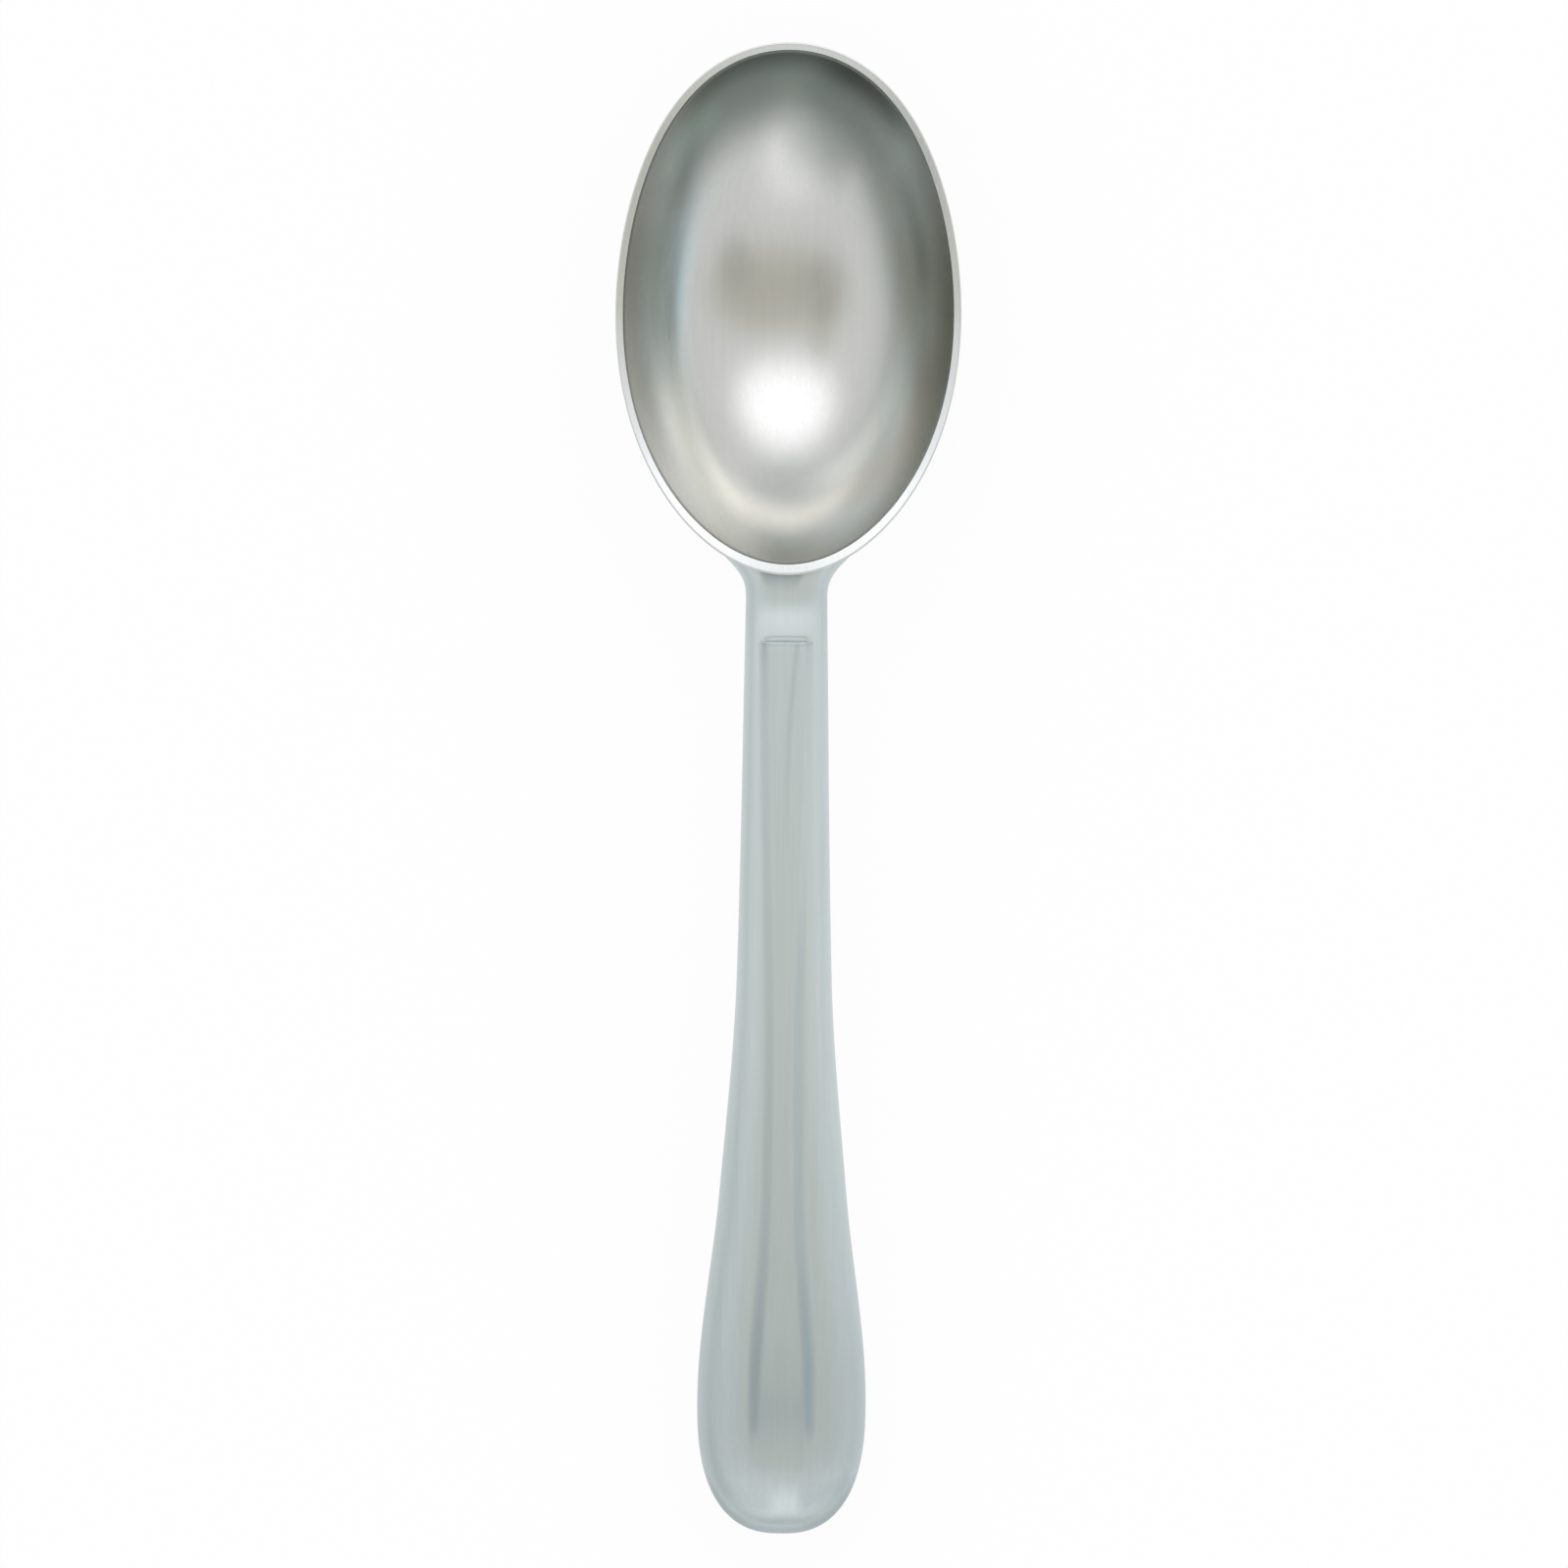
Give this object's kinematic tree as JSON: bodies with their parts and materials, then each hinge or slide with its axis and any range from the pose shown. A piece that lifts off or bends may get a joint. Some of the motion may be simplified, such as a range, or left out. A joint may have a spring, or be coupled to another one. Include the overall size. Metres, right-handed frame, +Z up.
{
  "type": "ice cream spoon",
  "caption": "Metal ice cream spoon with a deep oval bowl, a flat lip, and a long hollow handle with a shallow front flute that swells to a rounded butt.",
  "frame": {"origin": "on the surface that the spoon lies on, below the middle of its length and width", "axes": "+Y along the spoon towards the bowl's tip, +X to the right seen from above, +Z up out of the open bowl"},
  "size_m": [0.0488, 0.21, 0.0183],
  "materials": {
    "polished_steel": "polished, with fine lengthwise polishing lines",
    "satin_steel": "satin, brushed lengthwise",
    "plain_steel": "as rolled",
    "cement": "matt, cast"
  },
  "bodies": {
    "root": {"bowl": "polished_steel", "handle_front_shell": "satin_steel", "handle_back_shell": "satin_steel", "tang": "plain_steel", "handle_filler": "cement"}
  },
  "joints": []
}
